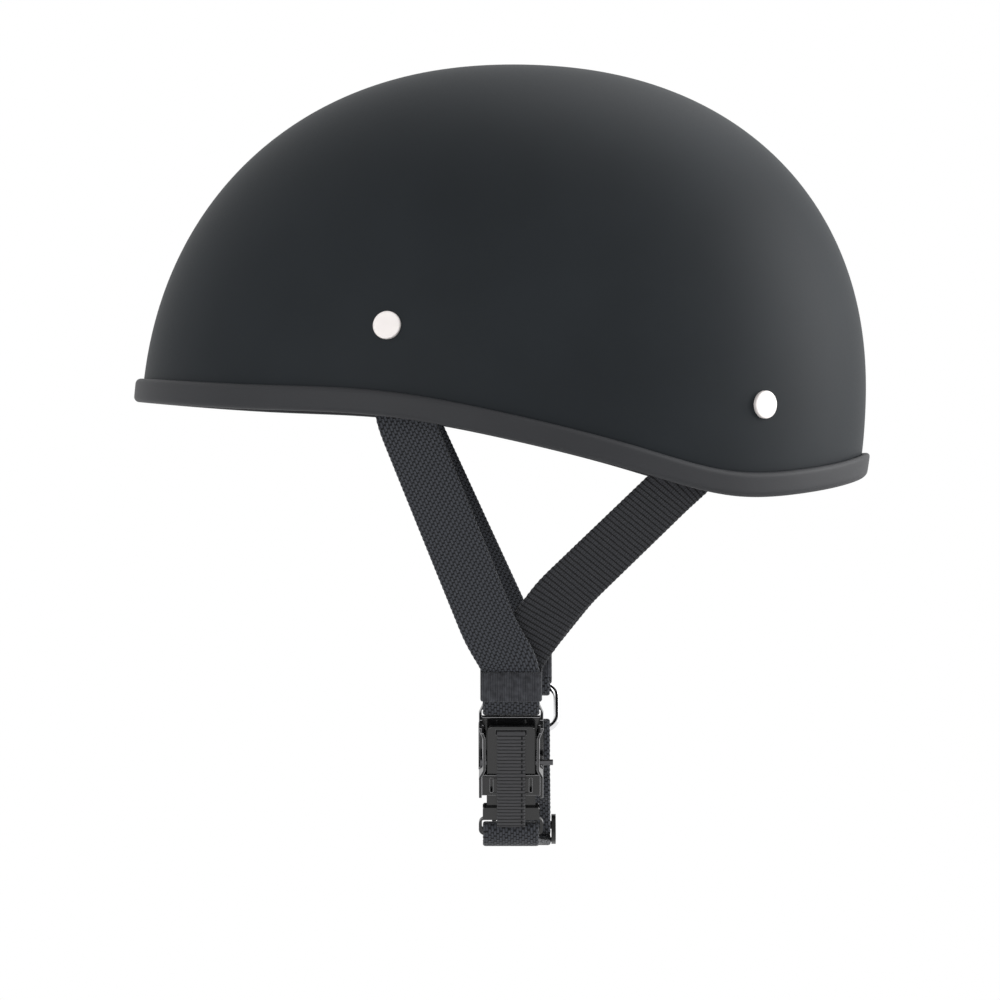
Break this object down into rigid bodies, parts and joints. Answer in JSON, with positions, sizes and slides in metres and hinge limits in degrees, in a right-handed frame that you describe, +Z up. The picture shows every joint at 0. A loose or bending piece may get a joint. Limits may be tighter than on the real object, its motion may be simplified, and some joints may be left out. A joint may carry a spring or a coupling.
{
  "type": "half shell motorcycle helmet",
  "caption": "Open half shell helmet with a smooth black dome, rubber edge trim and riveted straps that meet at a quick-release buckle under the chin.",
  "frame": {"origin": "middle of the head opening, level with the lowest point of the front edge of the trim", "axes": "+Z up, front of the helmet towards -Y, wearer's left towards +X"},
  "size_m": [0.2198, 0.2675, 0.2873],
  "materials": {
    "shell": "matte black, smooth",
    "trim": "black, slightly glossy, smooth extrusion",
    "foam": "black moulded bead foam",
    "padding": "black knitted cover over foam",
    "hook_tape": "black hook tape",
    "rivet_metal": "satin, faintly warm white",
    "zinc_steel": "zinc plated",
    "webbing": "black woven polyester, fine cross ribs",
    "keeper_weave": "dark grey ribbed sleeve, sewn",
    "buckle_metal": "gloss black",
    "ribbon_weave": "black ribbed ribbon, matte",
    "spring_steel": "bright wire",
    "bright_metal": "polished",
    "black_plastic": "moulded, satin"
  },
  "bodies": {
    "helmet": {"outer_shell": "shell", "edge_trim": "trim", "impact_liner": "foam", "crown_pad": "padding", "sweatband": "padding", "liner_hook_discs": "hook_tape", "left_front_rivet": "rivet_metal", "left_rear_rivet": "rivet_metal", "right_front_rivet": "rivet_metal", "right_rear_rivet": "rivet_metal", "rivet_washers": "zinc_steel", "left_front_strap": "webbing", "left_rear_strap": "webbing", "right_front_strap": "webbing", "right_rear_strap": "webbing", "left_keeper": "keeper_weave", "right_keeper": "keeper_weave", "buckle_frame": "buckle_metal", "lever_pin": "zinc_steel", "lever_spring": "spring_steel", "chin_strap": "webbing"},
    "release_lever": {"release_lever": "buckle_metal", "pull_ribbon": "ribbon_weave"},
    "tongue": {"tongue": "buckle_metal"},
    "strap_ring": {"strap_ring": "bright_metal"},
    "strap_slider": {"strap_slider": "black_plastic"}
  },
  "joints": [
    {"name": "tongue_slide", "type": "slide", "parent": "helmet", "child": "tongue", "axis": [-0.4067, 0, -0.9135], "range_m": [0, 0.0082], "deforming": ["chin_strap", "lever_spring", "pull_ribbon"]},
    {"name": "lever_hinge", "type": "hinge", "parent": "helmet", "child": "release_lever", "pos_m": [0.0569, 0.0024, -0.12708], "axis": [0, 1, 0], "range_deg": [0, 35], "stiffness_Nm_per_rad": 0.02, "springref_deg": -28.65, "deforming": ["lever_spring", "pull_ribbon"]},
    {"name": "ring_hinge", "type": "hinge", "parent": "helmet", "child": "strap_ring", "pos_m": [-0.06, 0.0074, -0.107], "axis": [0, 1, 0], "range_deg": [-7, 7], "deforming": ["chin_strap"]},
    {"name": "slider_slide", "type": "slide", "parent": "helmet", "child": "strap_slider", "axis": [-0.4067, 0, 0.9135], "range_m": [0, 0.008], "deforming": ["chin_strap"]}
  ],
  "couplings": [
    {"joint": "lever_hinge", "follows": "tongue_slide", "rad_per_m": 74}
  ]
}
